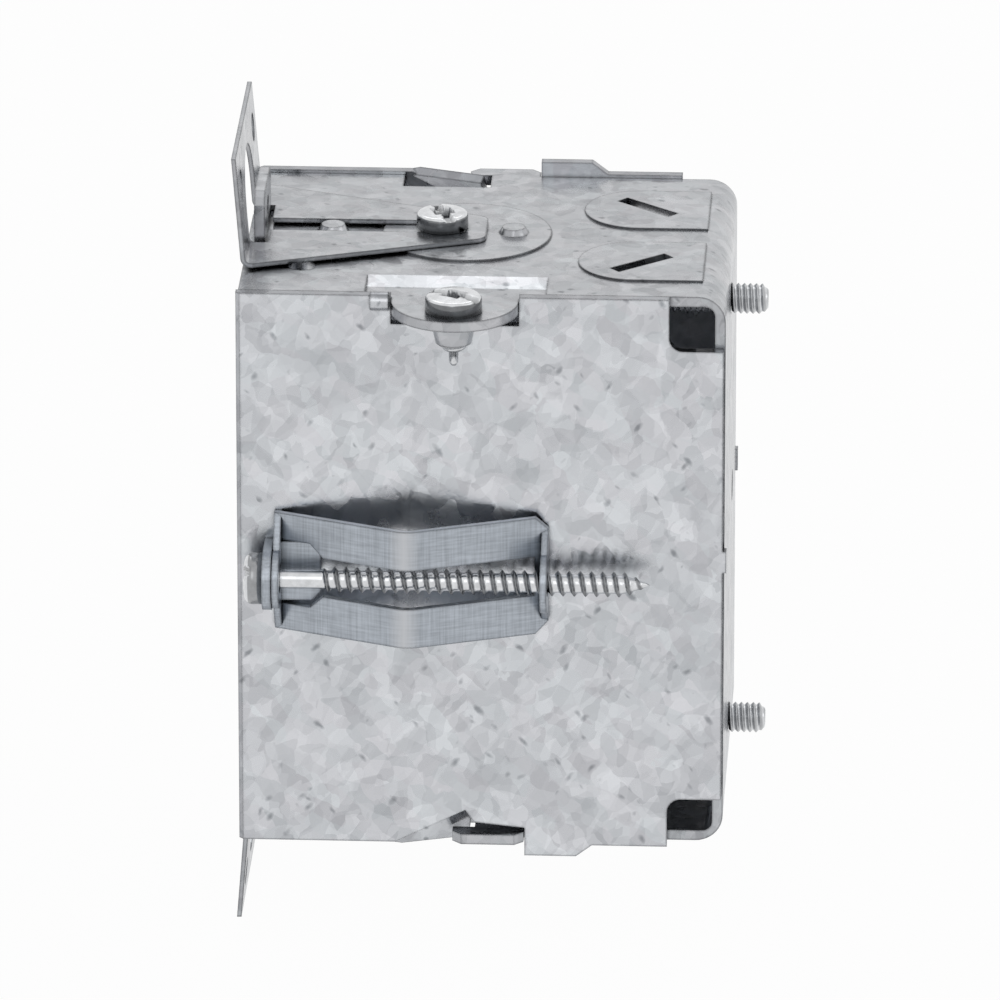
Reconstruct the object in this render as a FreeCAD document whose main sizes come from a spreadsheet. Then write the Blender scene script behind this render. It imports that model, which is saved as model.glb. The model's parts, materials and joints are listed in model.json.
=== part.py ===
import FreeCAD, Part
import math
import os
import re
import Sketcher

# Drywall back box: a gangable steel device box with folding wall clamps.
# Frame: X runs from the front opening to the back, Y across the box, Z up.
# The origin is the middle of the opening, halfway between the two device screws.
# Millimetres throughout.

DIMENSIONS = {
    "box_depth": (63.5, "front edge to outer back face"),
    "box_height": (76.2, "over the top and bottom walls"),
    "wall_width": (46.0, "width of the folded walls, the gang pitch"),
    "gauge": (1.4, "sheet of the walls and side plates"),
    "bend_radius": (3.6, "outside radius of the back corners"),
    "bend_inside": (1.3, "inside radius of the back corners"),
    "tab_width": (12.4, "device tab"),
    "tab_setback": (1.0, "device tab behind the front edge"),
    "tab_rise": (7.2, "device tab above the wall"),
    "tab_round": (1.6, "cut corners of the device tab"),
    "tab_relief": (1.3, "slit beside the device tab"),
    "tab_relief_length": (3.4, "how far the slit runs back"),
    "device_pitch": (83.3, "between the two device screws"),
    "device_bore": (1.4, "radius of the device screw hole"),
    "lug_place": (28.3, "screw lug, from the front"),
    "lug_radius": (8.3, "half-round end of the screw lug"),
    "lug_drop": (0.7, "screw lug below the wall"),
    "joggle_length": (23.6, "set-down strip behind the lug"),
    "joggle_start": (6.6, "set-down strip, in from the wall edge"),
    "joggle_run": (2.8, "slope of the set-down strip"),
    "screw_stand": (3.0, "side screw axis outside the side plate"),
    "collar_radius": (3.0, "drawn collar under the lug"),
    "collar_taper": (12.0, "taper of the collar, in degrees"),
    "collar_drop": (3.0, "height of the drawn collar"),
    "tapped_bore": (2.1, "radius of a tapped hole for the short screws"),
    "hook_start": (27.9, "hook lug, front end"),
    "hook_end": (37.3, "hook lug, back end"),
    "hook_reach": (1.5, "hook lug beyond the side plate"),
    "hook_slope": (1.2, "slanted ends of the hook lug"),
    "hook_slot_start": (19.2, "slot for the side plate's tongue"),
    "hook_slot_end": (30.8, "back end of that slot, behind the hook lug"),
    "hook_slot_in": (4.6, "depth of that slot into the wall"),
    "hook_back": (-0.2, "inner face of the hook lug's free end, in from the wall edge"),
    "disc_place": (28.7, "knockout centre from the front"),
    "disc_radius": (11.1, "knockout"),
    "disc_rise": (0.3, "half-sheared knockout above the wall"),
    "pry_place": (51.1, "centre of a pry-out's round end"),
    "pry_offset": (10.05, "pry-out centre from the middle"),
    "pry_radius": (7.35, "half width of a pry-out"),
    "pry_end": (60.3, "where a pry-out meets the back bend"),
    "pry_rise": (0.25, "half-sheared pry-out above the wall"),
    "pry_slot_width": (1.9, "slot that takes a screwdriver"),
    "pry_slot_front": (48.6, "its front end, from the front"),
    "pry_slot_front_out": (13.8, "its front end, from the middle"),
    "pry_slot_back": (55.5, "its back end, from the front"),
    "pry_slot_back_out": (7.9, "its back end, from the middle"),
    "dimple_front": (11.0, "front stop dimple"),
    "dimple_back": (34.8, "back stop dimple"),
    "dimple_radius": (2.15, "stop dimple at its root"),
    "dimple_rise": (1.1, "stop dimple above the wall"),
    "dimple_taper": (30.0, "slope of a stop dimple, in degrees from upright"),
    "ear_screw_place": (25.4, "ear screw from the front"),
    "spare_place": (7.7, "spare screw hole from the front"),
    "spare_offset": (13.4, "spare screw hole from the middle"),
    "spare_bore": (1.8, "radius of the spare screw hole"),
    "cable_screw_height": (29.7, "cable clamp screw above the middle"),
    "bond_offset": (9.0, "bonding screw from the middle"),
    "plate_front": (-0.3, "side plate's front edge"),
    "plate_edge": (0.55, "rolled-over outer edge of a side plate"),
    "plate_back": (63.3, "side plate's back edge"),
    "plate_low": (0.45, "side plate's hook edge below the wall"),
    "lug_gap": (8.35, "half width of the notch for the screw lug"),
    "lug_gap_depth": (3.9, "depth of that notch"),
    "corner_cut": (7.1, "width of the open corners at the back of a side plate"),
    "corner_low": (6.3, "height of the open corner at the hook edge"),
    "corner_round": (1.8, "inner rounding of the open corners"),
    "tongue_start": (20.2, "front end of the tongue's bend"),
    "tongue_bend": (10.5, "length of that bend"),
    "tongue_slant": (26.6, "slant of the bend, in degrees"),
    "tongue_tilt": (38.0, "how far the tongue is pressed in, in degrees"),
    "tongue_tip_along": (8.45, "free corner of the tongue, along the bend"),
    "tongue_tip_reach": (6.0, "free corner of the tongue, away from the bend"),
    "tongue_top_along": (10.7, "upper corner of the free edge, along the bend"),
    "tongue_top_reach": (1.8, "upper corner of the free edge, away from the bend"),
    "tongue_heel_along": (0.7, "lower front corner, along the bend"),
    "tongue_heel_reach": (1.0, "lower front corner, away from the bend"),
    "slit_start": (30.7, "slit between tongue and foot, front end"),
    "slit_high": (3.0, "slit above the edge at its front end"),
    "slit_low": (2.3, "slit above the edge at its back end"),
    "foot_start": (37.4, "side plate foot, front end"),
    "foot_end": (44.2, "side plate foot, back end"),
    "foot_slope": (2.1, "slanted end of the foot"),
    "foot_drop": (1.6, "foot below the edge"),
    "key_low": (0.25, "back key, lower end above the middle"),
    "key_high": (3.25, "back key, upper end above the middle"),
    "key_reach": (0.5, "back key behind the plate edge"),
    "nib_start": (17.3, "rolled nib on the plate's top edge"),
    "nib_length": (2.4, "along the edge"),
    "nib_radius": (1.2, "rolled edge"),
    "nib_sink": (0.15, "its axis behind the plate's face"),
    "nib_low": (0.8, "its axis below the plate's edge"),
    "clamp_gauge": (0.9, "strip of a wall clamp"),
    "clamp_half": (8.1, "half width of a wall clamp"),
    "clamp_front": (4.7, "front leaf of a wall clamp"),
    "clamp_peak": (22.3, "crease of a wall clamp"),
    "clamp_back": (40.6, "back leaf of a wall clamp"),
    "clamp_rise": (7.0, "crease above the ends"),
    "crease_round": (4.0, "outside radius of the crease"),
    "clamp_gap": (0.05, "clamp above the side plate"),
    "clamp_slit": (2.7, "half width of the slit"),
    "clamp_window": (4.45, "half width of the window at the lug"),
    "clamp_window_end": (11.2, "back end of that window"),
    "leaf_round": (3.9, "round end of a leaf, about the screw"),
    "leaf_front_half": (8.1, "half width at the root of the front leaf"),
    "leaf_back_half": (6.3, "half width at the root of the back leaf"),
    "clamp_axis": (4.1, "clamp screw above the side plate"),
    "drive_bore": (1.74, "radius of the hole the long screw bites"),
    "pass_bore": (1.95, "radius of its clearance holes"),
    "lug_gauge": (1.2, "sheet of the clamp lug"),
    "lug_front": (3.4, "front face of the clamp lug"),
    "lug_foot_end": (10.8, "back end of the clamp lug's foot"),
    "lug_half": (4.1, "half width of the clamp lug"),
    "lug_foot_round": (1.2, "cut corners of the foot"),
    "ear_gauge": (0.6, "sheet of an ear"),
    "ear_half": (15.6, "half width of an ear"),
    "ear_rise": (15.3, "ear above the wall"),
    "ear_front": (0.1, "ear's front face ahead of the edge"),
    "ear_lean": (1.2, "ear's top ahead of its root"),
    "ear_gap": (0.35, "arm above the wall, so that it lies on the knockout"),
    "ear_bend": (1.3, "outside bend radius"),
    "arm_end": (31.3, "end of the arm"),
    "arm_half": (4.2, "half width at the arm's end"),
    "arm_taper_start": (1.4, "where the arm starts to narrow"),
    "arm_round": (1.8, "corners of the arm's end"),
    "arm_slot_half": (2.3, "half width of the arm's slot"),
    "arm_slot_start": (0.8, "front end of the slot, inside the arch"),
    "arm_slot_end": (28.5, "back end of the slot"),
    "arch_half": (7.3, "half width of the arch over the device tab"),
    "arch_spring": (4.4, "arch springs this far above the wall"),
    "arch_back": (2.9, "how far the arch's gap runs back into the arm"),
    "nail_offset": (11.4, "wall screw holes from the middle"),
    "nail_height": (10.4, "wall screw holes above the wall"),
    "nail_bore": (1.9, "radius of the wall screw holes"),
    "grip_front": (53.0, "front face of a cable clamp"),
    "grip_half": (17.0, "half width of a cable clamp"),
    "grip_top": (35.0, "upper edge of a cable clamp"),
    "grip_knee": (24.0, "where its lip bends off"),
    "grip_lip_low": (20.8, "lower edge of the lip"),
    "grip_lip_out": (2.4, "lip ahead of the clamp"),
    "grip_foot_half": (4.0, "half width of the clamp's foot"),
    "grip_foot_reach": (4.4, "foot behind the clamp"),
    "grip_round": (2.4, "cut corners of a cable clamp"),
    "grip_bore": (2.15, "radius of the cable clamp's hole"),
    "head_gap": (0.05, "under a loosened screw head"),
    "machine_radius": (2.05, "short screws, over the thread"),
    "head_radius": (3.7, "head of a short screw"),
    "ear_head_radius": (3.4, "head of an ear screw"),
    "head_height": (2.3, "head of a short screw"),
    "head_taper": (0.4, "how much narrower a head is on top"),
    "ear_screw_length": (8.0, "under the head"),
    "side_screw_length": (5.5, "under the head"),
    "cable_screw_length": (15.45, "under the head"),
    "bond_screw_length": (7.1, "under the head"),
    "bond_stand": (7.2, "bonding screw head from the outer back face"),
    "drive_radius": (1.65, "long screw, over the thread"),
    "drive_head_radius": (3.4, "head of the long screw"),
    "drive_head_height": (2.6, "head of the long screw"),
    "drive_flat": (2.4, "top of the long screw's head"),
    "drive_length": (50.6, "under the head to the tip"),
    "drive_point": (3.4, "length of the point"),
    "drive_tip": (0.3, "blunt end of the point"),
}

doc = FreeCAD.newDocument("drywall_back_box")
sheet = doc.addObject("Spreadsheet::Sheet", "dims")
for row, (alias, (size, meaning)) in enumerate(DIMENSIONS.items(), start=1):
    sheet.set(f"A{row}", meaning)
    sheet.set(f"B{row}", str(size))
    sheet.setAlias(f"B{row}", alias)
doc.recompute()

HALF_TURN = FreeCAD.Rotation(FreeCAD.Vector(1, 0, 0), 180)
UPRIGHT = FreeCAD.Rotation()
HEAD_FORWARD = FreeCAD.Rotation(FreeCAD.Vector(0, 1, 0), -90)
EVERYTHING = 300

# Places that several pieces share.
WALL_TOP = "box_height / 2"
WALL_EDGE = "wall_width / 2"
PLATE_FACE = "wall_width / 2 + gauge"
CLAMP_AXIS = f"{PLATE_FACE} + clamp_axis"


def bound(text):
    """Turn plain size names into references to the dimension sheet."""
    return re.sub(r"[a-z][a-z_]+(?!\w*\()", lambda found: "dims." + found.group(), str(text))


def size_of(text):
    """The present value of an expression in size names."""
    return float(sheet.evalExpression(bound(text)))


def new_body(label, rotation=UPRIGHT, place=("0", "0", "0")):
    """A body with a label, turned as given and placed by expressions."""
    body = doc.addObject("PartDesign::Body", label)
    body.Label = label
    body.Placement = FreeCAD.Placement(FreeCAD.Vector(), rotation)
    for axis, text in zip("xyz", place):
        body.setExpression(f"Placement.Base.{axis}", bound(text))
    return body


def origin_item(body, role):
    """One of a body's own planes or axes."""
    return next(item for item in body.Origin.OriginFeatures if item.Role == role)


def new_sketch(body, name, role, offset="0"):
    """A sketch on one of the body's planes, moved along its normal."""
    sketch = body.newObject("Sketcher::SketchObject", name)
    sketch.AttachmentSupport = (origin_item(body, role), "")
    sketch.MapMode = "FlatFace"
    sketch.setExpression("AttachmentOffset.Base.z", bound(offset))
    return sketch


def hold(sketch, kind, geometry, point, text):
    """Add one dimension to a sketch and bind it to the sheet."""
    if point is None:
        constraint = Sketcher.Constraint(kind, geometry, size_of(text))
    else:
        constraint = Sketcher.Constraint(kind, geometry, point, size_of(text))
    index = sketch.addConstraint(constraint)
    sketch.setExpression(f"Constraints[{index}]", bound(text))


def arc_between(start, end, radius, left):
    """The short arc from start to end, turning left or right."""
    chord = end - start
    rise = math.sqrt(max(radius**2 - chord.Length**2 / 4, 0))
    across = FreeCAD.Vector(-chord.y, chord.x, 0).normalize()
    centre = (start + end) / 2 + across * (rise if left else -rise)
    first, last = (start, end) if left else (end, start)
    angles = [math.atan2(point.y - centre.y, point.x - centre.x) for point in (first, last)]
    if angles[1] < angles[0]:
        angles[1] += 2 * math.pi
    circle = Part.Circle(centre, FreeCAD.Vector(0, 0, 1), radius)
    return Part.ArcOfCircle(circle, *angles)


def outline(sketch, corners):
    """Draw a closed loop. A corner is (x, y), or (x, y, radius, turn) where an arc leads to it."""
    points = [FreeCAD.Vector(size_of(corner[0]), size_of(corner[1]), 0) for corner in corners]
    runs = []
    for index, corner in enumerate(corners):
        start, end = points[index - 1], points[index]
        if len(corner) == 2:
            geometry = sketch.addGeometry(Part.LineSegment(start, end), False)
            runs.append((geometry, 1, 2))
            continue
        left = corner[3] == "left"
        geometry = sketch.addGeometry(arc_between(start, end, size_of(corner[2]), left), False)
        runs.append((geometry, 1, 2) if left else (geometry, 2, 1))
    for index, (geometry, begin, finish) in enumerate(runs):
        following = runs[(index + 1) % len(runs)]
        sketch.addConstraint(Sketcher.Constraint("Coincident", geometry, finish, following[0], following[1]))
        hold(sketch, "DistanceX", geometry, finish, corners[index][0])
        hold(sketch, "DistanceY", geometry, finish, corners[index][1])
        if len(corners[index]) == 4:
            hold(sketch, "Radius", geometry, None, corners[index][2])


def circle(sketch, x, y, radius):
    """Draw a circle whose centre and radius are bound to the sheet."""
    centre = FreeCAD.Vector(size_of(x), size_of(y), 0)
    geometry = sketch.addGeometry(Part.Circle(centre, FreeCAD.Vector(0, 0, 1), size_of(radius)), False)
    hold(sketch, "DistanceX", geometry, 3, x)
    hold(sketch, "DistanceY", geometry, 3, y)
    hold(sketch, "Radius", geometry, None, radius)


def rectangle(sketch, left, bottom, right, top):
    """Draw a rectangle between two corners."""
    outline(sketch, [(left, bottom), (right, bottom), (right, top), (left, top)])


def pad(body, name, sketch, length, symmetric=False, backwards=False):
    """Raise a sketch into material."""
    feature = body.newObject("PartDesign::Pad", name)
    feature.Profile = sketch
    feature.setExpression("Length", bound(length))
    feature.SideType = "Symmetric" if symmetric else "One side"
    feature.Reversed = backwards
    doc.recompute()
    return feature


def pocket(body, name, sketch, length=EVERYTHING, symmetric=True, backwards=False):
    """Cut a sketch out of the body, and check that something was cut."""
    before = body.Shape.Volume
    feature = body.newObject("PartDesign::Pocket", name)
    feature.Profile = sketch
    feature.setExpression("Length", bound(length))
    feature.SideType = "Symmetric" if symmetric else "One side"
    feature.Reversed = backwards
    doc.recompute()
    if body.Shape.Volume >= before - 1e-6:
        raise RuntimeError(f"{body.Label}: {name} cuts nothing")
    return feature


def round_edges(body, kind, name, size, chosen):
    """Fillet or chamfer the edges that the test picks by their middles."""
    base = body.Tip
    numbered = enumerate(base.Shape.Edges, start=1)
    edges = [f"Edge{number}" for number, edge in numbered if chosen(edge.CenterOfMass, edge)]
    if not edges:
        raise RuntimeError(f"{body.Label}: {name} finds no edge")
    feature = body.newObject(f"PartDesign::{kind}", name)
    feature.Base = (base, edges)
    feature.setExpression("Radius" if kind == "Fillet" else "Size", bound(size))
    doc.recompute()
    return feature


def fillet(body, name, radius, chosen):
    """Round the edges that the test picks."""
    return round_edges(body, "Fillet", name, radius, chosen)


def near(value, text, room=0.05):
    """Whether a coordinate is where an expression puts it."""
    return abs(value - size_of(text)) < room


def half_turn_copy(body, name, features):
    """Repeat features half a turn round the depth axis."""
    pattern = body.newObject("PartDesign::PolarPattern", name)
    pattern.Originals = features
    pattern.Axis = (origin_item(body, "X_Axis"), [""])
    pattern.Angle = 360
    pattern.Occurrences = 2
    body.Tip = pattern
    doc.recompute()
    return pattern


def make_box_body():
    """Top, back and bottom walls folded from one sheet, alike after half a turn about X."""
    body = new_body("box_body")
    shell = new_sketch(body, "wall_profile", "XZ_Plane")
    inner_back, inner_top = "box_depth - gauge", "box_height / 2 - gauge"
    outline(shell, [
        (0, WALL_TOP), (0, inner_top), (inner_back, inner_top), (inner_back, f"-({inner_top})"),
        (0, f"-({inner_top})"), (0, f"-({WALL_TOP})"), ("box_depth", f"-({WALL_TOP})"),
        ("box_depth", WALL_TOP),
    ])
    pad(body, "folded_walls", shell, "wall_width", symmetric=True)
    across = lambda edge: edge.BoundBox.YLength > size_of("wall_width") - 1
    fillet(body, "outer_bends", "bend_radius", lambda c, e: across(e) and near(c.x, "box_depth"))
    fillet(body, "inner_bends", "bend_inside", lambda c, e: across(e) and near(c.x, inner_back))
    copied = []

    # Device tab, bent up from the front edge between two relief slits.
    tab = new_sketch(body, "tab_outline", "YZ_Plane", "tab_setback")
    tab_top, tab_half = f"{WALL_TOP} + tab_rise", "tab_width / 2"
    outline(tab, [
        (f"-{tab_half}", inner_top), (tab_half, inner_top), (tab_half, f"{tab_top} - tab_round"),
        (f"{tab_half} - tab_round", tab_top), (f"tab_round - {tab_half}", tab_top),
        (f"-{tab_half}", f"{tab_top} - tab_round"),
    ])
    copied.append(pad(body, "device_tab", tab, "gauge"))
    bore = new_sketch(body, "device_hole", "YZ_Plane", "tab_setback")
    circle(bore, 0, "device_pitch / 2", "device_bore")
    copied.append(pocket(body, "device_bore", bore, "gauge * 4"))
    slits = new_sketch(body, "relief_slits", "XY_Plane", WALL_TOP)
    for side in ("", "-"):
        rectangle(slits, -1, f"{side}({tab_half})", "tab_relief_length", f"{side}({tab_half} + tab_relief)")
    copied.append(pocket(body, "tab_relief", slits, "gauge * 2"))

    # Screw lug on the right edge of the top wall, set down by a joggle.
    gap = new_sketch(body, "joggle_gap", "XY_Plane", WALL_TOP)
    joggle_in, joggle_left = f"joggle_start - {WALL_EDGE}", "lug_place - joggle_length / 2"
    rectangle(gap, joggle_left, f"-{WALL_EDGE} - 1", f"{joggle_left} + joggle_length", joggle_in)
    copied.append(pocket(body, "joggle_room", gap, "gauge * 3"))
    joggle = new_sketch(body, "joggle_profile", "YZ_Plane", joggle_left)
    lug_top, slope_end = f"{WALL_TOP} - lug_drop", f"{joggle_in} - joggle_run"
    outline(joggle, [
        (joggle_in, WALL_TOP), (slope_end, lug_top), (f"-{WALL_EDGE}", lug_top),
        (f"-{WALL_EDGE}", f"{lug_top} - gauge"),
        (slope_end, f"{lug_top} - gauge"), (joggle_in, f"{WALL_TOP} - gauge"),
    ])
    copied.append(pad(body, "joggle", joggle, "joggle_length"))
    lug = new_sketch(body, "lug_outline", "XY_Plane", f"{lug_top} - gauge")
    lug_left, lug_right, lug_root = "lug_place - lug_radius", "lug_place + lug_radius", f"-{WALL_EDGE} - 1"
    outline(lug, [
        (lug_left, f"1 - {WALL_EDGE}"), (lug_left, lug_root),
        ("lug_place", f"{lug_root} - lug_radius", "lug_radius", "left"),
        (lug_right, lug_root, "lug_radius", "left"),
        (lug_right, f"1 - {WALL_EDGE}"),
    ])
    copied.append(pad(body, "screw_lug", lug, "gauge"))
    collar = new_sketch(body, "collar_outline", "XY_Plane", f"{lug_top} - gauge")
    screw_line = f"-({PLATE_FACE} + screw_stand)"
    circle(collar, "lug_place", screw_line, "collar_radius")
    drawn = pad(body, "lug_collar", collar, "collar_drop", backwards=True)
    drawn.setExpression("TaperAngle", "-" + bound("collar_taper"))
    doc.recompute()
    copied.append(drawn)
    tapped = new_sketch(body, "lug_hole", "XY_Plane", lug_top)
    circle(tapped, "lug_place", screw_line, "tapped_bore")
    copied.append(pocket(body, "lug_bore", tapped, "(gauge + collar_drop) * 3"))

    # Hook lug and tongue slot on the right edge of the bottom wall.
    hook = new_sketch(body, "hook_outline", "XY_Plane", f"-({WALL_TOP})")
    hook_tip = f"-({PLATE_FACE} + hook_reach)"
    outline(hook, [
        ("hook_start", f"1 - {WALL_EDGE}"), ("hook_start", f"{hook_tip} + hook_slope"),
        ("hook_start + hook_slope", hook_tip), ("hook_end - hook_slope", hook_tip),
        ("hook_end", f"{hook_tip} + hook_slope"), ("hook_end", f"1 - {WALL_EDGE}"),
    ])
    copied.append(pad(body, "hook_lug", hook, "gauge"))
    slot = new_sketch(body, "tongue_slot", "XY_Plane", f"-({WALL_TOP})")
    slot_in, behind_hook = f"hook_slot_in - {WALL_EDGE}", f"hook_back - {WALL_EDGE}"
    outline(slot, [
        ("hook_slot_start", slot_in), ("hook_slot_start", f"-{WALL_EDGE} - 1"),
        ("hook_start", f"-{WALL_EDGE} - 1"),
        ("hook_start", behind_hook), ("hook_slot_end", behind_hook), ("hook_slot_end", slot_in),
    ])
    copied.append(pocket(body, "tongue_room", slot, "gauge * 3"))

    # Half-sheared knockout and pry-outs, with the screwdriver slots of the pry-outs.
    disc = new_sketch(body, "knockout_outline", "XY_Plane", WALL_TOP)
    circle(disc, "disc_place", 0, "disc_radius")
    copied.append(pad(body, "knockout", disc, "disc_rise"))
    pry = new_sketch(body, "pryout_outline", "XY_Plane", WALL_TOP)
    for side in ("", "-"):
        middle = f"{side}pry_offset"
        outline(pry, [
            ("pry_end", f"{middle} + pry_radius"), ("pry_place", f"{middle} + pry_radius"),
            ("pry_place - pry_radius", middle, "pry_radius", "left"),
            ("pry_place", f"{middle} - pry_radius", "pry_radius", "left"),
            ("pry_end", f"{middle} - pry_radius"),
        ])
    copied.append(pad(body, "pryouts", pry, "pry_rise"))
    slots = new_sketch(body, "pry_slots", "XY_Plane", WALL_TOP)
    slot_run = size_of("pry_slot_back") - size_of("pry_slot_front")
    slot_turn = math.atan2(size_of("pry_slot_back_out") - size_of("pry_slot_front_out"), slot_run)
    aside = f"{math.sin(slot_turn)} * pry_slot_width / 2", f"{math.cos(slot_turn)} * pry_slot_width / 2"
    for side in ("", "-"):
        corners = []
        for end, way in (("front", "+"), ("front", "-"), ("back", "-"), ("back", "+")):
            along = f"pry_slot_{end} {'-' if way == '+' else '+'} ({aside[0]})"
            corners.append((along, f"{side}(pry_slot_{end}_out {way} ({aside[1]}))"))
        outline(slots, corners)
    copied.append(pocket(body, "screwdriver_slots", slots, "gauge * 3"))

    # Stop dimples for the ear, and the tapped holes.
    bumps = new_sketch(body, "dimple_outline", "XY_Plane", WALL_TOP)
    for place in ("dimple_front", "dimple_back"):
        circle(bumps, place, 0, "dimple_radius")
    dimples = pad(body, "dimples", bumps, "dimple_rise")
    dimples.setExpression("TaperAngle", "-" + bound("dimple_taper"))
    doc.recompute()
    copied.append(dimples)
    ear_hole = new_sketch(body, "ear_holes", "XY_Plane", WALL_TOP)
    circle(ear_hole, "ear_screw_place", 0, "tapped_bore")
    copied.append(pocket(body, "ear_bores", ear_hole, "gauge * 4"))
    cable_hole = new_sketch(body, "cable_hole", "YZ_Plane", "box_depth")
    circle(cable_hole, 0, "cable_screw_height", "tapped_bore")
    copied.append(pocket(body, "cable_bore", cable_hole, "gauge * 4"))
    half_turn_copy(body, "other_half", copied)

    spare_hole = new_sketch(body, "spare_hole", "XY_Plane", WALL_TOP)
    circle(spare_hole, "spare_place", "-spare_offset", "spare_bore")
    pocket(body, "spare_hole_cut", spare_hole, "gauge * 4")
    bond_hole = new_sketch(body, "bond_hole", "YZ_Plane", "box_depth")
    circle(bond_hole, "bond_offset", 0, "tapped_bore")
    pocket(body, "bond_bore", bond_hole, "gauge * 4")
    return body


def make_side_plate(label, rotation):
    """Flat side with a notch for the screw lug, a pressed-in tongue, a foot and open back corners."""
    body = new_body(label, rotation)
    face = new_sketch(body, "plate_outline", "XZ_Plane", WALL_EDGE)
    corner, low = "plate_back - corner_cut", f"-({WALL_TOP} + plate_low)"
    corner_top, key = f"{WALL_TOP} - corner_cut", "plate_back + key_reach"
    corner_base = f"-({WALL_TOP} - corner_low)"
    bend_end = ("tongue_start + tongue_bend * cos(tongue_slant)", f"{low} + tongue_bend * sin(tongue_slant)")
    outline(face, [
        ("plate_front", low), ("plate_front", WALL_TOP),
        ("lug_place - lug_gap", WALL_TOP), ("lug_place - lug_gap", f"{WALL_TOP} - lug_gap_depth"),
        ("lug_place + lug_gap", f"{WALL_TOP} - lug_gap_depth"), ("lug_place + lug_gap", WALL_TOP),
        (corner, WALL_TOP), (corner, f"{corner_top} + corner_round"),
        (f"{corner} + corner_round", corner_top, "corner_round", "left"), ("plate_back", corner_top),
        ("plate_back", "key_high"), (key, "key_high"), (key, "key_low"), ("plate_back", "key_low"),
        ("plate_back", corner_base), (f"{corner} + corner_round", corner_base),
        (corner, f"{corner_base} - corner_round", "corner_round", "left"), (corner, low),
        ("foot_end + foot_slope", low), ("foot_end", f"{low} - foot_drop"),
        ("foot_start", f"{low} - foot_drop"), ("foot_start", f"{low} + slit_low"),
        ("slit_start", f"{low} + slit_high"), bend_end, ("tongue_start", low),
    ])
    pad(body, "plate", face, "gauge")
    outer_face = f"-({PLATE_FACE})"
    round_edges(body, "Chamfer", "rolled_edge", "plate_edge",
                lambda c, e: near(c.x, "plate_front") and near(c.y, outer_face))
    tongue = new_sketch(body, "tongue_outline", "XZ_Plane", PLATE_FACE)
    along_bend = FreeCAD.Rotation(FreeCAD.Vector(0, 0, 1), size_of("tongue_slant"))
    pressed_in = FreeCAD.Rotation(FreeCAD.Vector(1, 0, 0), size_of("tongue_tilt"))
    tongue.AttachmentOffset = FreeCAD.Placement(FreeCAD.Vector(), along_bend * pressed_in)
    for axis, place in zip("xyz", ("tongue_start", low, PLATE_FACE)):
        tongue.setExpression(f"AttachmentOffset.Base.{axis}", bound(place))
    outline(tongue, [
        (0, 0), ("tongue_heel_along", "-tongue_heel_reach"), ("tongue_tip_along", "-tongue_tip_reach"),
        ("tongue_top_along", "-tongue_top_reach"), ("tongue_bend", 0),
    ])
    pad(body, "tongue", tongue, "gauge", backwards=True)
    nib = new_sketch(body, "nib_outline", "YZ_Plane", "nib_start")
    circle(nib, f"-({PLATE_FACE}) + nib_sink", f"{WALL_TOP} - nib_low", "nib_radius")
    pad(body, "rolled_nib", nib, "nib_length")
    return body


def make_clamp_lug(label, rotation):
    """Angle lug: a foot flat on the side plate and an upright with a round end about the screw."""
    body = new_body(label, rotation)
    foot = new_sketch(body, "foot_outline", "XZ_Plane", PLATE_FACE)
    inset = "lug_half - lug_foot_round"
    outline(foot, [
        ("lug_front", "-lug_half"), ("lug_foot_end - lug_foot_round", "-lug_half"),
        ("lug_foot_end", f"-({inset})"), ("lug_foot_end", inset),
        ("lug_foot_end - lug_foot_round", "lug_half"), ("lug_front", "lug_half"),
    ])
    pad(body, "foot", foot, "lug_gauge")
    upright = new_sketch(body, "upright_outline", "YZ_Plane", "lug_front")
    outline(upright, [
        (f"-({PLATE_FACE})", "-lug_half"), (f"-({PLATE_FACE})", "lug_half"), (f"-({CLAMP_AXIS})", "lug_half"),
        (f"-({CLAMP_AXIS} + lug_half)", 0, "lug_half", "left"),
        (f"-({CLAMP_AXIS})", "-lug_half", "lug_half", "left"),
    ])
    pad(body, "upright", upright, "lug_gauge")
    hole = new_sketch(body, "screw_hole", "YZ_Plane", "lug_front")
    circle(hole, f"-({CLAMP_AXIS})", 0, "pass_bore")
    pocket(body, "screw_pass", hole, "lug_gauge * 4")
    return body


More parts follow.
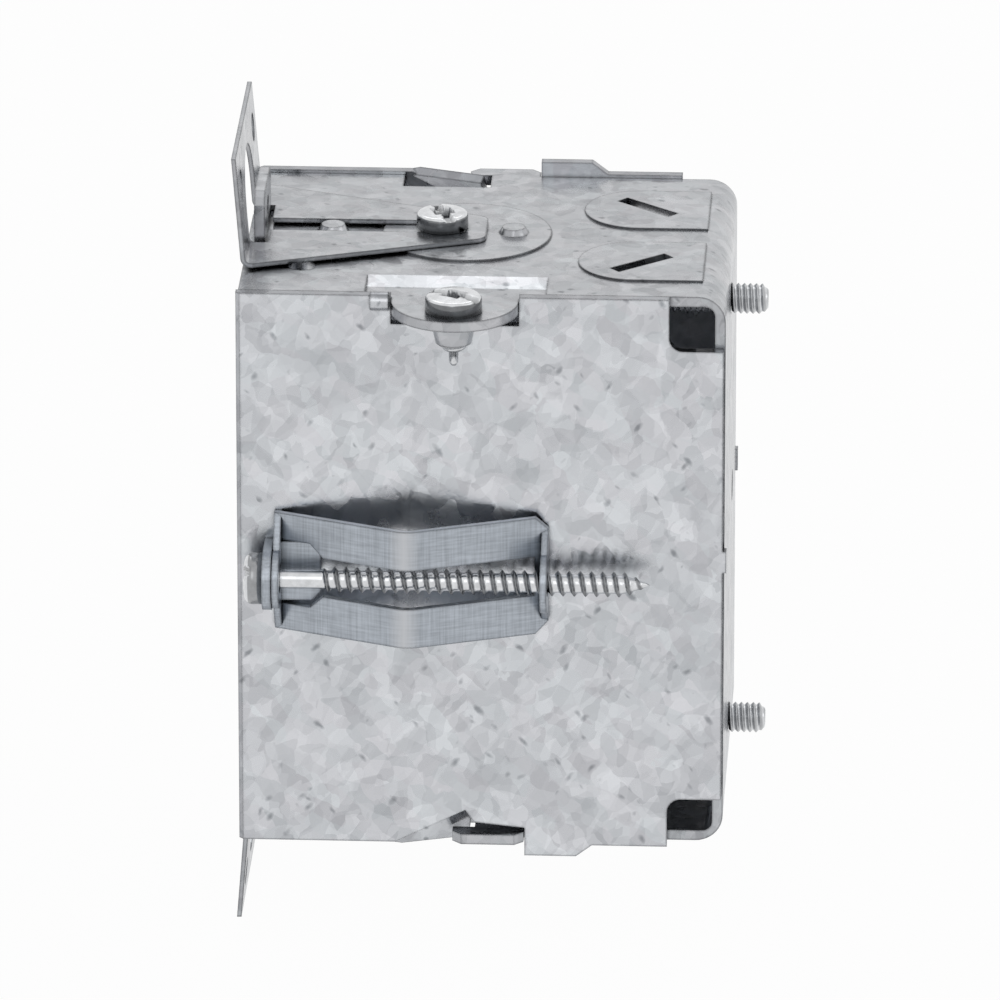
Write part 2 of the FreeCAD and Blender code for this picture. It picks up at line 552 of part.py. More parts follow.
def make_wall_clamp(label, rotation):
    """Slit strip creased outwards in the middle, with a leaf at each end turned out to meet the screw."""
    body = new_body(label, rotation)
    strip = new_sketch(body, "strip_profile", "XY_Plane")
    base = f"-({PLATE_FACE} + clamp_gap)"
    peak = f"{base} - clamp_rise"
    outline(strip, [
        ("clamp_front", base), ("clamp_peak", peak), ("clamp_back", base),
        ("clamp_back", f"{base} - clamp_gauge"), ("clamp_peak", f"{peak} - clamp_gauge"),
        ("clamp_front", f"{base} - clamp_gauge"),
    ])
    pad(body, "ribbons", strip, "clamp_half * 2", symmetric=True)
    for name, line, radius in (("outer_crease", f"{peak} - clamp_gauge", "crease_round"),
                               ("inner_crease", peak, "crease_round - clamp_gauge")):
        fillet(body, name, radius, lambda c, e: near(c.x, "clamp_peak") and near(c.y, line) and near(c.z, 0))
    axis_line = f"-({CLAMP_AXIS})"
    for name, half, place in (("front", "leaf_front_half", "clamp_front"),
                              ("back", "leaf_back_half", "clamp_back - clamp_gauge")):
        leaf = new_sketch(body, f"{name}_leaf_outline", "YZ_Plane", place)
        outline(leaf, [
            (base, f"-{half}"), (base, half), (f"{base} - clamp_gauge", half), (axis_line, "leaf_round"),
            (f"{axis_line} - leaf_round", 0, "leaf_round", "left"),
            (axis_line, "-leaf_round", "leaf_round", "left"), (f"{base} - clamp_gauge", f"-{half}"),
        ])
        pad(body, f"{name}_leaf", leaf, "clamp_gauge")
    slit = new_sketch(body, "slit_outline", "XZ_Plane", PLATE_FACE)
    rectangle(slit, "clamp_window_end - 1", "-clamp_slit", "clamp_back - 2 * clamp_gauge", "clamp_slit")
    pocket(body, "slit", slit, 40)
    window = new_sketch(body, "window_outline", "XZ_Plane", PLATE_FACE)
    straight = "clamp_window_end - (clamp_window - clamp_slit)"
    outline(window, [
        ("clamp_front + clamp_gauge", "-clamp_window"), (straight, "-clamp_window"),
        ("clamp_window_end", "-clamp_slit"), ("clamp_window_end", "clamp_slit"),
        (straight, "clamp_window"), ("clamp_front + clamp_gauge", "clamp_window"),
    ])
    pocket(body, "window", window, 40)
    under = new_sketch(body, "foot_room", "XZ_Plane", PLATE_FACE)
    rectangle(under, "clamp_front - 1", "-clamp_window", "clamp_front + 2 * clamp_gauge", "clamp_window")
    pocket(body, "foot_pass", under, "(lug_gauge + 0.3) * 2")
    corners = new_sketch(body, "strip_corners", "XZ_Plane", PLATE_FACE)
    trim = "(clamp_half - leaf_back_half)"
    for side in ("", "-"):
        beyond = f"{side}(clamp_half + 0.1)"
        outline(corners, [("clamp_back + 0.1", f"{side}leaf_back_half"), ("clamp_back + 0.1", beyond),
                          (f"clamp_back - {trim}", beyond)])
    pocket(body, "trimmed_corners", corners, 40)
    holes = (("front_hole", "clamp_front", "pass_bore"), ("back_hole", "clamp_back", "drive_bore"))
    for name, place, radius in holes:
        hole = new_sketch(body, name, "YZ_Plane", place)
        circle(hole, axis_line, 0, radius)
        pocket(body, f"{name}_cut", hole, "clamp_gauge * 4")
    return body


def make_ear(label, rotation):
    """Angled ear with an arch over the device tab and a slotted arm that narrows to its end."""
    body = new_body(label, rotation)
    profile = new_sketch(body, "ear_profile", "XZ_Plane")
    low, top = f"{WALL_TOP} + ear_gap", f"{WALL_TOP} + ear_rise"
    outline(profile, [
        ("arm_end", low), ("-ear_front", low), ("-ear_front - ear_lean", top),
        ("ear_gauge - ear_front - ear_lean", top), ("ear_gauge - ear_front", f"{low} + ear_gauge"),
        ("arm_end", f"{low} + ear_gauge"),
    ])
    pad(body, "angle", profile, "ear_half * 2", symmetric=True)
    bends = (("outer_bend", "ear_bend", "-ear_front", low),
             ("inner_bend", "ear_bend - ear_gauge", "ear_gauge - ear_front", f"{low} + ear_gauge"))
    for name, radius, x, z in bends:
        fillet(body, name, radius, lambda c, e: near(c.x, x) and near(c.z, z) and near(c.y, 0))
    taper = new_sketch(body, "arm_taper", "XY_Plane", WALL_TOP)
    for side in ("", "-"):
        outline(taper, [("arm_taper_start", f"{side}ear_half"), ("arm_end + 1", f"{side}(ear_half)"),
                        ("arm_end + 1", f"{side}arm_half"), ("arm_end", f"{side}arm_half")])
    pocket(body, "narrowing", taper, "ear_rise")
    fillet(body, "arm_corners", "arm_round",
           lambda c, e: near(c.x, "arm_end") and near(e.BoundBox.ZLength, "ear_gauge") and abs(c.y) > 1)
    slot = new_sketch(body, "arm_slot", "XY_Plane", WALL_TOP)
    rectangle(slot, "arm_slot_start", "-arm_slot_half", "arm_slot_end", "arm_slot_half")
    pocket(body, "slot", slot, "ear_rise")
    arch = new_sketch(body, "arch_outline", "YZ_Plane", "arch_back")
    spring = f"{WALL_TOP} + arch_spring"
    outline(arch, [
        ("-arch_half", f"{WALL_TOP} - 1"), ("arch_half", f"{WALL_TOP} - 1"), ("arch_half", spring),
        (0, f"{spring} + arch_half", "arch_half", "left"), ("-arch_half", spring, "arch_half", "left"),
    ])
    pocket(body, "arch", arch, 20, symmetric=False)
    holes = new_sketch(body, "wall_screw_holes", "YZ_Plane")
    for side in ("", "-"):
        circle(holes, f"{side}nail_offset", f"{WALL_TOP} + nail_height", "nail_bore")
    pocket(body, "wall_screw_bores", holes, 20)
    return body


def make_cable_clamp(label, rotation):
    """Plate across the back of the box with a lip at its free edge and a foot that steadies it."""
    body = new_body(label, rotation)
    profile = new_sketch(body, "grip_profile", "XZ_Plane")
    back = "grip_front + gauge"
    outline(profile, [
        (back, "grip_top"), ("grip_front", "grip_top"), ("grip_front", "grip_knee"),
        ("grip_front - grip_lip_out", "grip_lip_low"), (f"{back} - grip_lip_out", "grip_lip_low - gauge / 2"),
        (back, "grip_knee - gauge / 2"),
    ])
    pad(body, "grip", profile, "grip_half * 2", symmetric=True)
    round_edges(body, "Chamfer", "grip_corners", "grip_round",
                lambda c, e: near(c.z, "grip_top") and abs(c.y) > size_of("grip_half") - 0.1)
    foot = new_sketch(body, "foot_profile", "XZ_Plane")
    rectangle(foot, back, "grip_top - gauge", f"{back} + grip_foot_reach", "grip_top")
    pad(body, "foot", foot, "grip_foot_half * 2", symmetric=True)
    hole = new_sketch(body, "screw_hole", "YZ_Plane", "grip_front")
    circle(hole, 0, "cable_screw_height", "grip_bore")
    pocket(body, "screw_pass", hole, "gauge * 3")
    return body


def revolve(body, sketch):
    """Turn a half profile right round the sketch's upright axis."""
    feature = body.newObject("PartDesign::Revolution", "turned")
    feature.Profile = sketch
    feature.ReferenceAxis = (sketch, ["V_Axis"])
    feature.Angle = 360
    doc.recompute()


def make_machine_screw(label, rotation, place, length, head="head_radius"):
    """Short pan-head screw: head above its own origin and a plain cylinder over the thread below."""
    body = new_body(label, rotation, place)
    half = new_sketch(body, "half_profile", "XZ_Plane")
    outline(half, [
        (0, "head_height"), (0, f"-{length}"), ("machine_radius", f"-{length}"), ("machine_radius", 0),
        (head, 0), (f"{head} - head_taper", "head_height"),
    ])
    revolve(body, half)
    return body


def make_drive_screw(label, rotation, place):
    """Long self-tapping screw: pan head, cylinder over the thread and a point."""
    body = new_body(label, rotation, place)
    half = new_sketch(body, "half_profile", "XZ_Plane")
    outline(half, [
        (0, "drive_head_height"), (0, "-drive_length"), ("drive_tip", "-drive_length"),
        ("drive_radius", "drive_point - drive_length"),
        ("drive_radius", 0), ("drive_head_radius", 0), ("drive_flat", "drive_head_height"),
    ])
    revolve(body, half)
    return body


parts = [make_box_body()]
for side, rotation, sign in (("right", UPRIGHT, "-"), ("left", HALF_TURN, "")):
    parts.append(make_side_plate(f"{side}_side_plate", rotation))
    parts.append(make_clamp_lug(f"{side}_clamp_lug", rotation))
    parts.append(make_wall_clamp(f"{side}_wall_clamp", rotation))
    clamp_place = ("lug_front - head_gap", f"{sign}({CLAMP_AXIS})", "0")
    parts.append(make_drive_screw(f"{side}_clamp_screw", HEAD_FORWARD, clamp_place))
for end, rotation, sign, other in (("top", UPRIGHT, "", "-"), ("bottom", HALF_TURN, "-", "")):
    parts.append(make_ear(f"{end}_ear", rotation))
    parts.append(make_cable_clamp(f"{end}_cable_clamp", rotation))
    ear_place = ("ear_screw_place", "0", f"{sign}({WALL_TOP} + ear_gap + ear_gauge + head_gap)")
    ear_screw = f"{end}_ear_screw"
    parts.append(make_machine_screw(ear_screw, rotation, ear_place, "ear_screw_length", "ear_head_radius"))
    cable_place = ("grip_front - head_gap", "0", f"{sign}cable_screw_height")
    parts.append(make_machine_screw(f"{end}_cable_screw", HEAD_FORWARD, cable_place, "cable_screw_length"))
    side = "right" if end == "top" else "left"
    side_place = ("lug_place", f"{other}({PLATE_FACE} + screw_stand)", f"{sign}({WALL_TOP} - lug_drop)")
    parts.append(make_machine_screw(f"{side}_side_screw", rotation, side_place, "side_screw_length"))
bond_place = ("box_depth - bond_stand", "bond_offset", "0")
parts.append(make_machine_screw("bonding_screw", HEAD_FORWARD, bond_place, "bond_screw_length"))

doc.recompute()
for item in doc.Objects:
    if {"Invalid", "Error"} & set(item.State):
        raise RuntimeError(f"{item.Label} failed: {item.State}")
for part in parts:
    if part.Shape.isNull() or not part.Shape.isValid() or len(part.Shape.Solids) != 1:
        raise RuntimeError(f"{part.Label} is not one valid solid")

os.makedirs("parts", exist_ok=True)
for part in parts:
    part.Shape.exportStep(f"parts/{part.Label}.step")
    print(part.Label, round(part.Shape.Volume, 1), part.Shape.BoundBox)
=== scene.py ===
import json
import math

import bmesh
import bpy
import numpy as np
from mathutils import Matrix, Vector


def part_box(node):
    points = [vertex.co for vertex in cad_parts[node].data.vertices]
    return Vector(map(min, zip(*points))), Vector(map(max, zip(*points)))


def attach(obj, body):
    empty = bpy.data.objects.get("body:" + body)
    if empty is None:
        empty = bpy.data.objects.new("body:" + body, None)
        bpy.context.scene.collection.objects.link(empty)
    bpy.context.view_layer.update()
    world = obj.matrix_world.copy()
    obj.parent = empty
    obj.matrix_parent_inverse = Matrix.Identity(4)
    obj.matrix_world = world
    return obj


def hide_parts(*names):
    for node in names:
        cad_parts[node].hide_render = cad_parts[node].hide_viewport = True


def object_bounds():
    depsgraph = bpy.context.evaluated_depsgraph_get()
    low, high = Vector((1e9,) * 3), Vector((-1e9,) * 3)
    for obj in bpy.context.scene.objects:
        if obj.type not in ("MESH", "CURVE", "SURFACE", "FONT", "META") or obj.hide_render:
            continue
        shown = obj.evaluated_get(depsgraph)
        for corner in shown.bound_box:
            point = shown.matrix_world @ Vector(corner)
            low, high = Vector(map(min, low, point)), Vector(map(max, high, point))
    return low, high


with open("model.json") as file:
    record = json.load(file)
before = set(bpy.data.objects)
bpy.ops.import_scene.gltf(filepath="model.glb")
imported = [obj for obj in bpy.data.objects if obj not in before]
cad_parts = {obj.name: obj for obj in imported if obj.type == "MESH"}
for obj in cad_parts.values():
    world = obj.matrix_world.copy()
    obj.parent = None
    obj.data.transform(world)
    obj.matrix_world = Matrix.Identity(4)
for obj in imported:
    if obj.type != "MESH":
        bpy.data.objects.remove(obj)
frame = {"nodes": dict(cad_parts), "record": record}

CAD_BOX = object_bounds()

bl_info = {
    "name": "Drywall back box",
    "version": (1, 0, 0),
    "blender": (4, 5, 0),
    "location": "3D view > Sidebar > Back box",
    "description": "Sheet finishes, threaded screws and a plain studio for a steel back box",
    "category": "Object",
}

MM = 0.001
# Name of the screws' point attribute that holds their painted shade.
PAINTED_SHADE = "painted_shade"
WHITE = (1, 1, 1)
MIDDLE_GREY = (0.5, 0.5, 0.5)

# CAD nodes by finish, and the tone of each part's galvanised sheet: painted light and shade,
# lighter on the side plates and darker on the walls and ears.
WALL_NODES = ("box_body",)
PLATE_NODES = ("right_side_plate", "left_side_plate")
EAR_NODES = ("top_ear", "bottom_ear")
CLAMP_NODES = ("right_wall_clamp", "left_wall_clamp")
STRIP_NODES = ("right_clamp_lug", "left_clamp_lug", "top_cable_clamp", "bottom_cable_clamp")
WALL_SHADE_TONE, PLATE_LIGHT_TONE, EAR_SHADE_TONE = 0.77, 1.04, 0.72
BODY_OF_NODE = {name: body for body, names in frame["record"]["behaviour"]["bodies"].items()
                for name in names}

# Nets of zinc crystals: cells to a spangle's width, turn about X, Y and Z in radians, and
# stretch along the turned axes.
WARP_CELLS, WARP_REACH = 0.9, 0.55
FLAKE_CELLS, FLAKE_BLUR = 0.8, 0.12
SHARD_CELLS, SHARD_SLANT, SHARD_STRETCH = 0.75, (0.3, 0.7, 0.2), (1.25, 0.6, 0.7)
SLIVER_CELLS, SLIVER_SLANT, SLIVER_STRETCH = 1.2, (0.3, 0.6, 0.0), (0.8, 0.8, 2.0)
SPECK_CELLS, SPECK_STRETCH = 1.36, (1, 1, 2.4)
SPECK_SLANTS = ((0.3, 0.65, 0.0), (-0.3, -0.7, 0.0))
CRYSTAL_LEAN = 0.05

# Noises, in waves to a metre.
FROST_WAVES, CLOUD_WAVES, PLATING_WAVES = 2600.0, 55.0, 900.0
SCRATCH_WAVES = ((3800, 3800, 160), (260, 260, 3600))
SCRATCH_SLANT = (0, 0.05, 0)
# Share of wear and painted highlight at the middle of the crease band.
CREASE_HIGHLIGHT_SHARE = 0.85
SHADE_SAMPLES = 4

# Screws: a maker's sizes that the CAD boxes don't give. "plain" is the bare neck, "point" the
# taper at the end, "thin" how narrow the ridge is for its pitch.
# Two of each screw's numbers darken its thread's ridge and its head's side as painted shade.
SHORT_SCREW = {"head_h": 2.3 * MM, "rim": 0.6 * MM, "crown": 0.35 * MM, "shank_r": 1.85 * MM,
               "root_r": 1.72 * MM, "crest_r": 2.05 * MM, "plain": 0.4 * MM, "point": 0.9 * MM,
               "sharp": False, "thin": 1.15, "painted_shade": 0.45, "side_painted_shade": 0.85}
LONG_SCREW = {"head_h": 2.6 * MM, "rim": 1.1 * MM, "crown": 0.5 * MM, "shank_r": 1.45 * MM,
              "root_r": 1.22 * MM, "crest_r": 1.72 * MM, "plain": 7.2 * MM, "point": 3.4 * MM,
              "sharp": True, "thin": 1.9, "painted_shade": 0.8, "side_painted_shade": 0.6}

# The way each screw's head faces, and the turn of its recess in radians.
UP, DOWN, FORWARD = (0, 0, 1), (0, 0, -1), (-1, 0, 0)
SHORT_SCREWS = {"right_side_screw": (UP, 0.5), "left_side_screw": (DOWN, 2.1),
                "top_ear_screw": (UP, 1.2), "bottom_ear_screw": (DOWN, 0.2),
                "top_cable_screw": (FORWARD, 0.7), "bottom_cable_screw": (FORWARD, 1.9),
                "bonding_screw": (FORWARD, 0.4)}
LONG_SCREWS = {"right_clamp_screw": (FORWARD, 0.9), "left_clamp_screw": (FORWARD, 0.1)}
PILOT_SCREWS = ("right_side_screw", "left_side_screw")

# Grid of a screw's surface.
COLUMNS = 72
TOP_ROWS, RIM_ROWS, ROWS_PER_TURN = 44, 14, 14
RIM_END = TOP_ROWS + RIM_ROWS - 1
RECESS_STOP, SIDE_START = RIM_END - 3, RIM_END - 5
ANGLE = np.linspace(0, 2 * np.pi, COLUMNS, endpoint=False)[None, :]
MERGE_DISTANCE = 1e-8

# Shares and small sizes of a screw's form.
NECK_SHARE = 1.15
RECESS_EDGE = 0.12 * MM
SLOT_SHARE = 0.55
THREAD_START = 0.02 * MM
POINT_CURVE = 0.8
BLUNT_END = 0.62
THREAD_RUNOUT = 0.9
# How strongly the thread's ridge takes painted shade.
FLANK_SHADE = 1.6
PILOT_RADII = (0.65 * MM, 0.6 * MM, 0.35 * MM, 0.0)
PILOT_CHAMFER = 0.4 * MM

# Studio: each lamp's name, place, width and depth in metres, and watts.
LAMPS = (("front_box", (-0.05, -1.0, 0.64), 0.3, 0.7, 0.5),
         ("back_box", (0.0, 0.75, 0.95), 1.0, 0.4, 1.5),
         ("side_box", (1.0, -0.2, 0.6), 0.5, 0.8, 0.8))
SKY = ((0.0, (0.20, 0.20, 0.205)), (0.3, (0.30, 0.30, 0.305)), (1.0, (0.42, 0.42, 0.42)))
FLOOR_REACH = 4.0
FLOOR_GREY = (0.9, 0.9, 0.9, 1)
FLOOR_WHITE, WORLD_WHITE = 0.97, 1.0
SENSOR = 36
CLIP_END = 20
BOX_MIDDLE = Vector((31.75, 0, 0)) * MM
AIM_RIGHT, AIM_UP = 1.23 * MM, 0.6 * MM


# Properties a user would change.

def length(label, about, default, **more):
    """A size in metres, given here in millimetres."""
    return bpy.props.FloatProperty(name=label, description=about, default=default * MM,
                                   subtype="DISTANCE", unit="LENGTH", precision=5, **more)


def angle(label, about, degrees):
    """An angle, given here in degrees."""
    return bpy.props.FloatProperty(name=label, description=about, default=math.radians(degrees),
                                   subtype="ANGLE", unit="ROTATION")


def share(label, about, default):
    """A plain number from 0 to 1."""
    return bpy.props.FloatProperty(name=label, description=about, default=default,
                                   min=0, max=1, subtype="FACTOR")


def colour(label, about, default):
    """A linear colour."""
    return bpy.props.FloatVectorProperty(name=label, description=about, default=default,
                                         min=0, max=1, size=3, subtype="COLOR")


class BackBoxFinish(bpy.types.PropertyGroup):
    """Finishes of the sheet, the strip and the screws."""
    sheet_dark: colour("Dark spangle", "Darkest crystals of the galvanised sheet",
                       (0.39, 0.40, 0.42))
    sheet_light: colour("Light spangle", "Lightest crystals of the galvanised sheet",
                        (0.72, 0.735, 0.76))
    sheet_roughness: share("Sheet roughness", "Mean roughness of the galvanised sheet", 0.24)
    spangle: length("Spangle", "Width of one zinc crystal", 2.2)
    speck_tint: colour("Specks", "Tint of the short dark streaks in the spangle",
                       (0.55, 0.56, 0.57))
    # Painted shade on faces of the side plates that turn from Y.
    turned_face_tint: colour("Shaded edge", "Tint of the rolled edges of the side plates",
                      (0.55, 0.55, 0.56))
    # Dark sharp edges: partly burred steel, partly painted shade.
    edge_burr_shade_tint: colour("Burr", "Tint of the burr along sharp edges", (0.22, 0.22, 0.225))
    burr: length("Burr width", "How far a burr reaches in from an edge", 0.45)
    edge_round: length("Edge rounding", "Rounding of the sheared edges", 0.16)
    strip_colour: colour("Strip", "Zinc-plated strip of the clamps", (0.38, 0.41, 0.45))
    strip_roughness: share("Strip roughness", "Roughness of the plated strip", 0.32)
    # Wear and painted highlight along the crease.
    crease_highlight_colour: colour("Crease", "Lit_and_worn plating along the clamps' crease", (0.55, 0.56, 0.58))
    crease_place: length("Crease place", "Crease of a wall clamp behind the front edge", 22.0)
    crease_band: length("Crease band", "Half width of the worn band", 2.2)
    screw_colour: colour("Screw", "Bright zinc of the screws", (0.67, 0.68, 0.695))
    screw_roughness: share("Screw roughness", "Roughness of the screws", 0.20)
    # Painted shade: the tint in thread ridges, screw recesses and head sides, and in crevices of
    # the sheet and strip.
    painted_shade_tint: colour("Painted_shade", "Tint in thread flanks, recesses and crevices",
                       (0.16, 0.165, 0.17))
    # How far the painted shade in crevices reaches.
    crevice: length("Crevice reach", "How far from a wall a crevice darkens the sheet", 1.3)


class BackBoxScrews(bpy.types.PropertyGroup):
    """Thread and recess of the screws."""
    machine_pitch: length("Short pitch", "Thread pitch of the short screws", 0.79375)
    drive_pitch: length("Long pitch", "Thread pitch of the long screws", 1.46)
    recess_square: length("Square recess", "Width of the square drive", 2.5)
    recess_slot: length("Slot", "Width of the driver slot", 1.0)
    recess_depth: length("Recess depth", "Depth of the square drive", 1.3)
    pilot: length("Pilot tip", "Plain tip below the thread of the side screws", 2.1)


class BackBoxStage(bpy.types.PropertyGroup):
    """Camera and studio."""
    azimuth: angle("Azimuth", "Camera's turn from straight on to the right side", 2.83)
    elevation: angle("Elevation", "Camera's height as an angle", 20.85)
    distance: length("Distance", "Camera to the middle of the box", 1700)
    lens: bpy.props.FloatProperty(name="Lens",
                                  description="Focal length in millimetres on a 36 mm sensor",
                                  default=461.3, min=1, unit="CAMERA")
    floor_drop: length("Floor gap", "Floor below the lowest point of the object", 0.3)


# Node trees.

def node(tree, kind, inputs=None, **settings):
    """Add a node; each input is a value or another node's socket."""
    made = tree.nodes.new(kind)
    for name, value in settings.items():
        setattr(made, name, value)
    for name, value in (inputs or {}).items():
        socket = made.inputs[name]
        if isinstance(value, bpy.types.NodeSocket):
            tree.links.new(value, socket)
        else:
            socket.default_value = value
    return made


def new_material(name):
    """An empty node material with an output."""
    material = bpy.data.materials.new(name)
    material.use_nodes = True
    material.node_tree.nodes.clear()
    return material, material.node_tree, node(material.node_tree, "ShaderNodeOutputMaterial")


def ramp(tree, factor, stops):
    """A colour ramp with (place, colour) stops."""
    made = node(tree, "ShaderNodeValToRGB", {"Fac": factor})
    elements = made.color_ramp.elements
    while len(elements) < len(stops):
        elements.new(0.5)
    for element, (place, value) in zip(elements, stops):
        element.position = place
        element.color = (*value, 1)
    return made.outputs["Color"]


def toned(value, tone):
    """A colour made lighter or darker, at most white."""
    return tuple(min(channel * tone, 1) for channel in value)


def remap(tree, value, middle, below, above):
    """Stretch 0..1 to a span about a middle."""
    return node(tree, "ShaderNodeMapRange", {"Value": value, "To Min": middle - below,
                                             "To Max": middle + above}).outputs["Result"]


def worked(tree, operation, *values):
    """One sum on numbers."""
    made = node(tree, "ShaderNodeMath", dict(enumerate(values)), operation=operation)
    return made.outputs[0]


def weighted(tree, *terms):
    """The sum of (value, weight) pairs."""
    total = worked(tree, "MULTIPLY", *terms[0])
    for value, weight in terms[1:]:
        total = worked(tree, "MULTIPLY_ADD", value, weight, total)
    return total


def joined(tree, first, second, operation="ADD"):
    """Two vectors added or subtracted."""
    return node(tree, "ShaderNodeVectorMath", {0: first, 1: second},
                operation=operation).outputs[0]


def strayed(tree, random_colour, reach):
    """A random colour as a step either way along each axis, half the reach at most."""
    step = joined(tree, random_colour, MIDDLE_GREY, "SUBTRACT")
    return node(tree, "ShaderNodeVectorMath", {0: step, "Scale": reach},
                operation="SCALE").outputs[0]


def mixed_colour(tree, factor, first, second, blend="MIX"):
    """Two colours mixed by a factor."""
    return node(tree, "ShaderNodeMix", {"Factor": factor, 6: first, 7: second},
                data_type="RGBA", blend_type=blend).outputs[2]


def multiplied(tree, first, second):
    """Two colours multiplied."""
    return mixed_colour(tree, 1.0, first, second, "MULTIPLY")


def channels(tree, colour_socket):
    """Red, green and blue of a colour."""
    return node(tree, "ShaderNodeSeparateColor", {"Color": colour_socket}).outputs


def noise(tree, place, scale, detail, **more):
    """Noise at a place."""
    return node(tree, "ShaderNodeTexNoise",
                {"Vector": place, "Scale": scale, "Detail": detail, **more}).outputs


def stretched(tree, place, slant, lengths):
    """A place turned back by a slant and divided by lengths: cells grow along the slant's axes."""
    return node(tree, "ShaderNodeMapping", {"Vector": place, "Rotation": slant, "Scale": lengths},
                vector_type="TEXTURE").outputs[0]


def rounded_normal(tree, radius):
    """The surface's normal with its sharp edges rounded."""
    return node(tree, "ShaderNodeBevel", {"Radius": radius}, samples=SHADE_SAMPLES).outputs[0]


def bumped(tree, height, strength, depth, **normal):
    """A normal that follows a height."""
    return node(tree, "ShaderNodeBump", {"Height": height, "Strength": strength,
                                         "Distance": depth, **normal}).outputs["Normal"]


def end_in_metal(tree, output, base, gloss, normal):
    """Close a tree with a metal shader."""
    shader = node(tree, "ShaderNodeBsdfPrincipled", {"Base Color": base, "Metallic": 1.0,
                                                     "Roughness": gloss, "Normal": normal})
    tree.links.new(shader.outputs[0], output.inputs["Surface"])


# Finishes.

def crevice_shade(tree, base, finish):
    """Painted shade: darken a colour in slots, seams and corners, by how open its near surroundings
    are.
    """
    nearby = node(tree, "ShaderNodeAmbientOcclusion", {"Distance": finish.crevice},
                  samples=SHADE_SAMPLES).outputs["AO"]
    return multiplied(tree, base, ramp(tree, nearby, [(0.25, finish.painted_shade_tint), (0.75, WHITE)]))


def specks(tree, place, finish, slant):
    """A tint for short dark streaks: the middles of stretched cells that draw a low number."""
    aimed = stretched(tree, place, slant, SPECK_STRETCH)
    cells = node(tree, "ShaderNodeTexVoronoi",
                 {"Vector": aimed, "Scale": SPECK_CELLS / finish.spangle}).outputs
    chance = channels(tree, cells["Color"])["Red"]
    score = weighted(tree, (cells["Distance"], 1.0), (chance, 0.9))
    return ramp(tree, score, [(0.14, finish.speck_tint), (0.33, WHITE)])


def burrs_and_edge_shade(tree, finish):
    """A tint for dark sharp edges, partly burred steel and partly painted shade, where a rounded
    normal strays from the face's own.
    """
    own = node(tree, "ShaderNodeNewGeometry").outputs["Normal"]
    agree = node(tree, "ShaderNodeVectorMath", {0: rounded_normal(tree, finish.burr), 1: own},
                 operation="DOT_PRODUCT").outputs["Value"]
    return ramp(tree, agree, [(0.80, finish.edge_burr_shade_tint), (0.985, WHITE)])


def turned_face_shade(tree, finish):
    """Painted shade on the side plates' edges and other faces, darker the further a face turns from
    Y.
    """
    normal = node(tree, "ShaderNodeTexCoord").outputs["Normal"]
    facing = node(tree, "ShaderNodeSeparateXYZ", {"Vector": normal}).outputs["Y"]
    return ramp(tree, worked(tree, "ABSOLUTE", facing), [(0.6, finish.turned_face_tint), (0.92, WHITE)])


def galvanised_sheet(name, finish, tone, rolled=False):
    """Zinc crystals: three nets of bent cells with their own grey, gloss and tilt, and specks,
    lightened or darkened as a whole by the tone as painted light or shade, with painted shade in
    crevices, at sharp edges (partly burred steel) and, when asked, on faces turned from Y.
    """
    material, tree, output = new_material(name)
    place = node(tree, "ShaderNodeTexCoord").outputs["Object"]
    warp = noise(tree, place, WARP_CELLS / finish.spangle, 2.0)["Color"]
    bent = joined(tree, place, strayed(tree, warp, finish.spangle * WARP_REACH))
    flakes = node(tree, "ShaderNodeTexVoronoi",
                  {"Vector": bent, "Scale": FLAKE_CELLS / finish.spangle,
                   "Smoothness": FLAKE_BLUR}, feature="SMOOTH_F1").outputs["Color"]
    shards = node(tree, "ShaderNodeTexVoronoi",
                  {"Vector": stretched(tree, bent, SHARD_SLANT, SHARD_STRETCH),
                   "Scale": SHARD_CELLS / finish.spangle}).outputs["Color"]
    slivers = node(tree, "ShaderNodeTexVoronoi",
                   {"Vector": stretched(tree, bent, SLIVER_SLANT, SLIVER_STRETCH),
                    "Scale": SLIVER_CELLS / finish.spangle}).outputs["Color"]
    flake, shard, sliver = (channels(tree, net) for net in (flakes, shards, slivers))
    frost = noise(tree, place, FROST_WAVES, 4.0, Roughness=0.6)["Fac"]
    cloud = noise(tree, place, CLOUD_WAVES, 3.0)["Fac"]

    level = weighted(tree, (flake["Red"], 0.2), (shard["Red"], 0.2), (sliver["Red"], 0.22),
                     (frost, 0.08), (cloud, 0.3))
    base = ramp(tree, level, [(0.15, toned(finish.sheet_dark, tone)),
                              (0.85, toned(finish.sheet_light, tone))])
    hue = ramp(tree, shard["Green"], [(0.0, (0.985, 1.0, 1.0)), (1.0, (1.0, 0.985, 0.99))])
    # The last layer darkens sharp edges: partly burred steel, partly painted shade.
    layers = [hue, *(specks(tree, bent, finish, slant) for slant in SPECK_SLANTS),
              burrs_and_edge_shade(tree, finish)]
    # Painted shade on faces turned from Y.
    if rolled:
        layers.append(turned_face_shade(tree, finish))
    for layer in layers:
        base = multiplied(tree, base, layer)
    # Painted shade in the sheet's crevices.
    base = crevice_shade(tree, base, finish)

    gloss = remap(tree, weighted(tree, (flake["Blue"], 0.6), (frost, 0.4)),
                  finish.sheet_roughness, 0.07, 0.09)
    lean = joined(tree, strayed(tree, flakes, CRYSTAL_LEAN), strayed(tree, shards, CRYSTAL_LEAN))
    tilted = node(tree, "ShaderNodeVectorMath",
                  {0: joined(tree, rounded_normal(tree, finish.edge_round), lean)},
                  operation="NORMALIZE").outputs[0]
    end_in_metal(tree, output, base, gloss, bumped(tree, frost, 0.15, 0.08 * MM, Normal=tilted))
    return material


